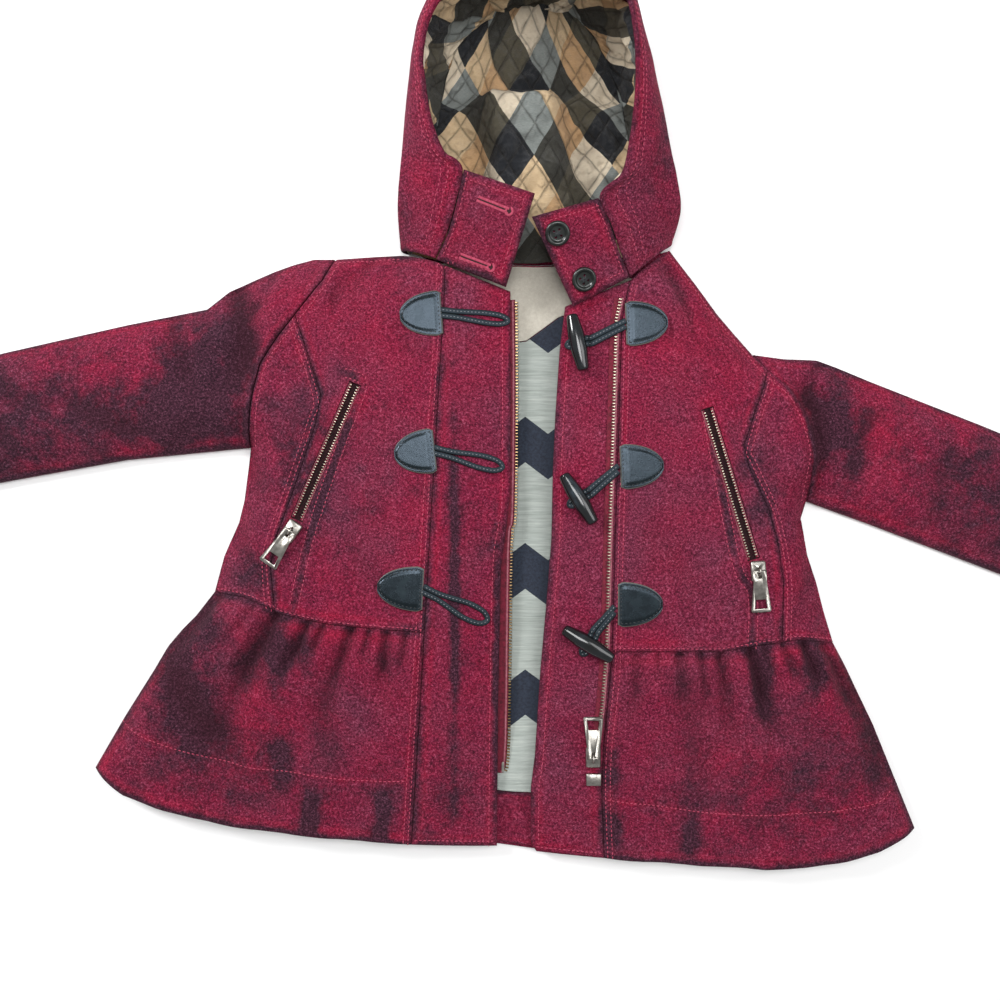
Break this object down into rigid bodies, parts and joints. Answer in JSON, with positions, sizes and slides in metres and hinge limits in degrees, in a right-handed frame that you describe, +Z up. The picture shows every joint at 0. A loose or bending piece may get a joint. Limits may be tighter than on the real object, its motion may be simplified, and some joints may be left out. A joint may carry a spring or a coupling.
{
  "type": "toddler's hooded toggle coat",
  "caption": "Toddler's hooded wool toggle coat with gathered peplum, buttoned chin tab, zip front and zip pockets, quilted hood lining, lying open on its back.",
  "frame": {"origin": "on the table under the flat back, on the coat's centre line at chest level", "axes": "+X towards the wearer's left sleeve, +Y up the coat towards the hood, +Z up from the table the coat lies on"},
  "size_m": [0.989, 0.6533, 0.098],
  "materials": {
    "burgundy_wool": "brushed heather wool melton",
    "pale_grey_cotton": "slubbed plain weave with a woven diamond",
    "cream_cotton": "plain weave",
    "quilted_cotton": "quilted plain weave with a harlequin diamond",
    "pocket_cotton": "plain dark pocketing",
    "zip_tape": "woven zip tape",
    "black_leather": "fine-grained, semi-matt, cut raw at the edges",
    "black_horn": "polished horn look",
    "nickel": "satin nickel plate"
  },
  "bodies": {
    "coat": {"back_body": "burgundy_wool", "back_peplum": "burgundy_wool", "back_hem_facing": "burgundy_wool", "side_panel_right": "burgundy_wool", "side_panel_left": "burgundy_wool", "front_panel_right": "burgundy_wool", "front_panel_left": "burgundy_wool", "peplum_right": "burgundy_wool", "peplum_left": "burgundy_wool", "front_band_right": "burgundy_wool", "front_band_left": "burgundy_wool", "sleeve_upper_right": "burgundy_wool", "sleeve_upper_left": "burgundy_wool", "sleeve_under_right": "burgundy_wool", "sleeve_under_left": "burgundy_wool", "hood_right": "burgundy_wool", "hood_centre": "burgundy_wool", "hood_left": "burgundy_wool", "hood_back": "burgundy_wool", "chin_tab_right": "burgundy_wool", "chin_tab_left": "burgundy_wool", "back_lining": "pale_grey_cotton", "neck_yoke": "cream_cotton", "hood_lining_right": "quilted_cotton", "hood_lining_centre": "quilted_cotton", "hood_lining_left": "quilted_cotton", "hood_lining_back": "quilted_cotton", "pocket_bag_right": "pocket_cotton", "pocket_bag_left": "pocket_cotton", "zip_tape_right": "zip_tape", "zip_tape_left": "zip_tape", "pocket_tape_right_1": "zip_tape", "pocket_tape_right_2": "zip_tape", "pocket_tape_left_1": "zip_tape", "pocket_tape_left_2": "zip_tape", "patch_right_1": "black_leather", "patch_right_2": "black_leather", "patch_right_3": "black_leather", "patch_left_1": "black_leather", "patch_left_2": "black_leather", "patch_left_3": "black_leather", "loop_right_1": "black_leather", "toggle_cord_left_1": "black_leather", "toggle_left_1": "black_horn", "loop_right_2": "black_leather", "toggle_cord_left_2": "black_leather", "toggle_left_2": "black_horn", "loop_right_3": "black_leather", "toggle_cord_left_3": "black_leather", "toggle_left_3": "black_horn", "button_1": "black_horn", "button_2": "black_horn", "zip_slider": "nickel", "zip_box": "nickel", "pocket_slider_right": "nickel", "pocket_slider_left": "nickel"},
    "main_zip_pull": {"zip_pull": "nickel"},
    "right_pocket_pull": {"pocket_pull_right": "nickel"},
    "left_pocket_pull": {"pocket_pull_left": "nickel"}
  },
  "joints": [
    {"name": "main_zip_pull_turn", "type": "hinge", "parent": "coat", "child": "main_zip_pull", "pos_m": [0.04929, -0.1882, 0.02222], "axis": [0.9994, 0, 0.0339], "range_deg": [0, 150]},
    {"name": "right_pocket_pull_turn", "type": "hinge", "parent": "coat", "child": "right_pocket_pull", "pos_m": [-0.17036, -0.02236, 0.02772], "axis": [-0.8191, 0.5736, 0.0078], "range_deg": [0, 150]},
    {"name": "left_pocket_pull_turn", "type": "hinge", "parent": "coat", "child": "left_pocket_pull", "pos_m": [0.16871, -0.05168, 0.02745], "axis": [-0.9976, -0.0698, -0.0016], "range_deg": [0, 150]}
  ]
}
